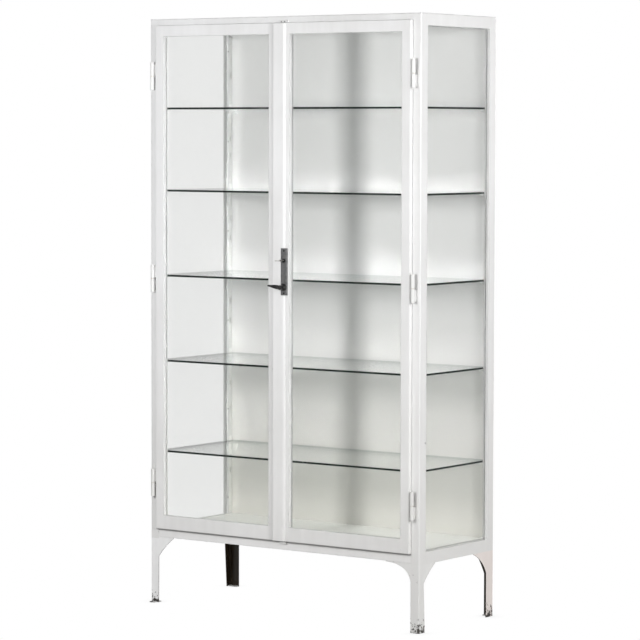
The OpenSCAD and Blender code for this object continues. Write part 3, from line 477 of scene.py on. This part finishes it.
# Paler copy of the inside enamel for the supports, beads and floor pan: painted light on parts that sit in
# shade
fitting_paint = paint("enamel_fittings", (0.95, 0.95, 0.945), (0.92, 0.92, 0.915), **FITTING)
node_material = {
    "right_door_frame": paint("enamel_sill", **BODY, sill_shadow_and_wear=True),
    "left_door_frame": paint("enamel_sill_left", **BODY, sill_shadow_and_wear=True, stile_shade=0.88),
    "front_apron": paint("enamel_apron", **BODY, sill_shadow_and_wear=True, low_shade=(1.0, 0.99, 0.98)),
    "rear_left_post": rear_post_paint,
    "rear_right_post": rear_post_paint,
    "shelf_uprights": paint("enamel_uprights", (0.82, 0.82, 0.81), (0.78, 0.78, 0.77), **FITTING),
    "shelf_supports": fitting_paint,
    "left_door_beads": fitting_paint,
    "floor_pan": fitting_paint,
    "foot_plates": foot_steel(),
    "front_left_leg": paint("enamel_front_left_leg", **LEG, low_shade=(1.04, 1.035, 1.03)),
    "rear_right_leg": paint("enamel_rear_right_leg", **ROSY_LEG),
}


def dress_pieces():
    """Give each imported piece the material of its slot, or its own one where it differs in the photograph."""
    for row in frame["record"]["subparts"]:
        obj = nodes[row["node"]]
        mat = node_material.get(row["node"], slot_material[row["material_slot"]])
        if not obj.material_slots:
            obj.data.materials.append(mat)
        for slot in obj.material_slots:
            slot.material = mat


# ---------- screws ----------
# Radius and height of a head
BEAD_SCREW = (0.0024, 0.0013)
KEEP_SCREW = (0.0019, 0.0012)
HEAD_SIDES = 20
HEAD_RINGS = 4
HEAD_SUNK = 0.0003
# Shares of the head's radius: its flat top, and half the slot's width
TOP_SHARE = 0.02
SLOT_HALF_SHARE = 0.14
# Shares of the head's height: the slot's depth, and where the slot begins
SLOT_DEPTH_SHARE = 0.42
SLOT_FROM_SHARE = 0.3
BEAD_W = 0.008
# Door beads: from the bead's outer edge, and from the corner of the opening to the first screw
DOOR_SCREW_IN = 0.0036
DOOR_FIRST_SCREW = 0.05
# Side beads: from the outer edges, from the lower and upper end, and along the top bead
SIDE_SCREW_IN = 0.004
SIDE_TOP_SCREW_IN = 0.0045
SIDE_ENDS = (0.0535, 0.06)
SIDE_TOP_REACH = (0.052, 0.292)
# Keep above the strip: share of its width and turn of the slot for each screw, share of its height
KEEP_SCREWS = ((0.17, 0.4), (0.70, 1.9))
KEEP_SCREW_RISE = 0.3


def ring(bm, at, x, y, radius, height, slot_half=0.0, slot_depth=0.0):
    """Ring of vertices over the point at, lower by slot_depth within slot_half of the x axis."""
    z = x.cross(y)
    loop = []
    for i in range(HEAD_SIDES):
        turn = 2 * math.pi * i / HEAD_SIDES
        dx = radius * math.cos(turn)
        dy = radius * math.sin(turn)
        rise = height - slot_depth if abs(dy) < slot_half else height
        loop.append(bm.verts.new(at + x * dx + y * dy + z * rise))
    return loop


def screw_head(bm, at, axis, size, turn):
    """Domed screw head on the point at, along axis, with its slot turned."""
    radius, height = size
    at = Vector(at)
    across = Vector(axis).orthogonal().normalized()
    beside = Vector(axis).cross(across)
    x = across * math.cos(turn) + beside * math.sin(turn)
    y = beside * math.cos(turn) - across * math.sin(turn)
    loops = [ring(bm, at, x, y, radius, -HEAD_SUNK)]
    for k in range(HEAD_RINGS + 1):
        angle = k / HEAD_RINGS * math.pi / 2
        share = math.cos(angle) if k < HEAD_RINGS else TOP_SHARE
        rise = height * math.sin(angle)
        slot_depth = height * SLOT_DEPTH_SHARE if rise > height * SLOT_FROM_SHARE else 0.0
        loops.append(ring(bm, at, x, y, radius * share, rise, radius * SLOT_HALF_SHARE, slot_depth))
    for a, b in zip(loops, loops[1:]):
        for i in range(HEAD_SIDES):
            j = (i + 1) % HEAD_SIDES
            bm.faces.new((a[i], a[j], b[j], b[i]))
    bm.faces.new(loops[-1])
    bm.faces.new(list(reversed(loops[0])))


def screw_piece(name, bm, slot, body):
    """Piece of screws, which rides on a body."""
    mesh = bpy.data.meshes.new(name)
    bm.normal_update()
    bm.to_mesh(mesh)
    bm.free()
    for face in mesh.polygons:
        face.use_smooth = True
    piece = bpy.data.objects.new(name, mesh)
    scene.collection.objects.link(piece)
    mesh.materials.append(slot_material[slot])
    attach(piece, body)


def bead_screws(name, points, axis, body):
    """Screws of the glazing beads, their slots turned at random."""
    rnd = random.Random(len(name) * 7 + len(points))
    bm = bmesh.new()
    for point in points:
        screw_head(bm, point, axis, BEAD_SCREW, rnd.uniform(0, math.pi))
    screw_piece(name, bm, "bare_steel", body)


def spread(first, last, count):
    """Even places from first to last."""
    return [first + i * (last - first) / (count - 1) for i in range(count)]


def door_screw_points(beads):
    """Along the middle of the four beads of a door, on their inner face."""
    low, high = span(beads)
    first = DOOR_FIRST_SCREW + BEAD_W
    points = []
    for x in (low.x + DOOR_SCREW_IN, high.x - DOOR_SCREW_IN):
        points += [(x, high.y, z) for z in spread(low.z + first, high.z - first, 6)]
    for z in (low.z + DOOR_SCREW_IN, high.z - DOOR_SCREW_IN):
        points += [(x, high.y, z) for x in spread(low.x + first, high.x - first, 3)]
    return points


def side_screw_points(beads, inner):
    """Along the two upright beads and the top bead of a side pane; inner picks the face to the bays."""
    low, high = span(beads)
    x = (low, high)[inner].x
    points = []
    for y in (low.y + SIDE_SCREW_IN, high.y - SIDE_SCREW_IN):
        points += [(x, y, z) for z in spread(low.z + SIDE_ENDS[0], high.z - SIDE_ENDS[1], 6)]
    for y in spread(low.y + SIDE_TOP_REACH[0], low.y + SIDE_TOP_REACH[1], 3):
        points.append((x, y, high.z - SIDE_TOP_SCREW_IN))
    return points


def keep_screws():
    """Two dark screws on the keep above the cover strip."""
    low, high = span("top_keep")
    bm = bmesh.new()
    z = low.z + (high.z - low.z) * KEEP_SCREW_RISE
    for share, turn in KEEP_SCREWS:
        x = low.x + (high.x - low.x) * share
        screw_head(bm, (x, low.y, z), (0, -1, 0), KEEP_SCREW, turn)
    screw_piece("keep_screws", bm, "dark_iron", "carcass")


def add_screws():
    """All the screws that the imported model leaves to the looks."""
    for door in ("left_door", "right_door"):
        bead_screws(door + "_bead_screws", door_screw_points(door + "_beads"), (0, 1, 0), door)
    for side, inner, inward in (("left_side", 1, (1, 0, 0)), ("right_side", 0, (-1, 0, 0))):
        bead_screws(side + "_bead_screws", side_screw_points(side + "_beads", inner), inward, "carcass")
    keep_screws()


# ---------- floor and light ----------
FLOOR_HALF = 14.0
CONTACT_SHADOW_REACH = 0.05
# The backdrop stands this way; brightness of the surround by how far a ray goes towards it
BACKDROP = (-0.59, 0.81, 0.0)
MIRRORED_LEVELS = ((0.62, 0.30), (0.86, 0.80))
LIT_LEVELS = ((0.40, 0.31), (0.86, 0.66))
DOOR_PANES = ("left_door_glass", "right_door_glass")
# Soft boxes: name, place, what it looks at, side in metres, watts, pieces that it leaves out
SOFT_BOXES = (
    ("front", (0.12, -2.95, 1.52), (0.0, 0.0, 1.2), 0.52, 53.5, DOOR_PANES),
    ("side", (3.9, -0.2, 2.5), (0.0, 0.1, 0.9), 1.2, 84.0, ()),
    ("key", (3.74, -1.78, 1.58), (0.1, 0.0, 1.1), 0.8, 56.0, ()),
    ("back", (0.0, 3.8, 2.3), (0.0, 0.2, 0.9), 1.2, 60.0, ()),
)


def floor_material():
    """Pale floor that shows as white, with a painted contact shadow right where the feet touch it."""
    mat, nt, out = new_material("floor_pale")
    matt = add(nt, "ShaderNodeBsdfPrincipled", {"Roughness": 0.9, "Specular IOR Level": 0.1})
    tone = noise(nt, coords(nt), 1.4, 3.0, 0.5)
    nt.links.new(mix_color(nt, tone, (0.48, 0.48, 0.48), (0.52, 0.52, 0.52)), matt.inputs["Base Color"])
    glow = add(nt, "ShaderNodeEmission", {"Strength": 1.0})
    # Painted contact shadow: the floor's glow dims where the feet are near
    contact_shadow = add(nt, "ShaderNodeAmbientOcclusion", {"Distance": CONTACT_SHADOW_REACH}, samples=8)
    nt.links.new(ramp(nt, contact_shadow.outputs["AO"], (0.30, 0.80), (0.95, 1.0)), glow.inputs["Color"])
    seen = nt.nodes.new("ShaderNodeLightPath").outputs["Is Camera Ray"]
    nt.links.new(mix_shader(nt, seen, matt.outputs[0], glow.outputs[0]), out.inputs[0])
    return mat


def make_floor():
    """One large sheet at height 0."""
    bm = bmesh.new()
    corners = ((-1, -1), (1, -1), (1, 1), (-1, 1))
    bm.faces.new([bm.verts.new((x * FLOOR_HALF, y * FLOOR_HALF, 0.0)) for x, y in corners])
    mesh = bpy.data.meshes.new("floor")
    bm.to_mesh(mesh)
    bm.free()
    floor = bpy.data.objects.new("floor", mesh)
    scene.collection.objects.link(floor)
    mesh.materials.append(floor_material())


def soft_box(name, place, target, side, watts, left_out):
    """Square area light; the pieces in left_out neither take nor mirror its light."""
    data = bpy.data.lights.new(name, "AREA")
    data.shape = "RECTANGLE"
    data.size = side
    data.size_y = side
    data.energy = watts
    lamp = bpy.data.objects.new(name, data)
    scene.collection.objects.link(lamp)
    if left_out:
        group = bpy.data.collections.new(name + "_not_on")
        for piece in left_out:
            group.objects.link(nodes[piece])
        lamp.light_linking.receiver_collection = group
        for member in group.collection_objects:
            member.light_linking.link_state = "EXCLUDE"
    aim = Vector(target) - Vector(place)
    lamp.matrix_world = Matrix.Translation(place) @ aim.to_track_quat("-Z", "Y").to_matrix().to_4x4()


def make_surround():
    """Studio that shows as white, lights softly, and has a brighter backdrop behind the cabinet."""
    world = bpy.data.worlds.new("studio")
    scene.world = world
    world.use_nodes = True
    nt = world.node_tree
    nt.nodes.clear()
    out = nt.nodes.new("ShaderNodeOutputWorld")
    shown = add(nt, "ShaderNodeBackground", {"Strength": 1.0, "Color": (1, 1, 1, 1)})
    lit = add(nt, "ShaderNodeBackground", {"Strength": 1.0})
    mirrored = add(nt, "ShaderNodeBackground", {"Strength": 1.0})
    direction = nt.nodes.new("ShaderNodeTexCoord").outputs["Generated"]
    towards = add(nt, "ShaderNodeVectorMath", operation="DOT_PRODUCT")
    towards.inputs[1].default_value = BACKDROP
    nt.links.new(direction, towards.inputs[0])
    backdrop = towards.outputs["Value"]
    nt.links.new(ramp(nt, backdrop, *MIRRORED_LEVELS), mirrored.inputs["Color"])
    nt.links.new(ramp(nt, backdrop, *LIT_LEVELS), lit.inputs["Color"])
    path = nt.nodes.new("ShaderNodeLightPath")
    unseen = mix_shader(nt, path.outputs["Is Glossy Ray"], lit.outputs[0], mirrored.outputs[0])
    whole = mix_shader(nt, path.outputs["Is Camera Ray"], unseen, shown.outputs[0])
    nt.links.new(whole, out.inputs[0])


def set_look():
    """Plain colours, and light paths long enough for the light that the shelves throw on the back."""
    scene.view_settings.view_transform = "Standard"
    scene.view_settings.look = "None"
    scene.cycles.max_bounces = 14
    scene.cycles.diffuse_bounces = 6
    scene.cycles.glossy_bounces = 5
    scene.cycles.transparent_max_bounces = 40
    scene.cycles.sample_clamp_indirect = 60.0
    scene.cycles.blur_glossy = 0.0


make_camera()
dress_pieces()
add_screws()
make_floor()
make_surround()
for box in SOFT_BOXES:
    soft_box(*box)
set_look()
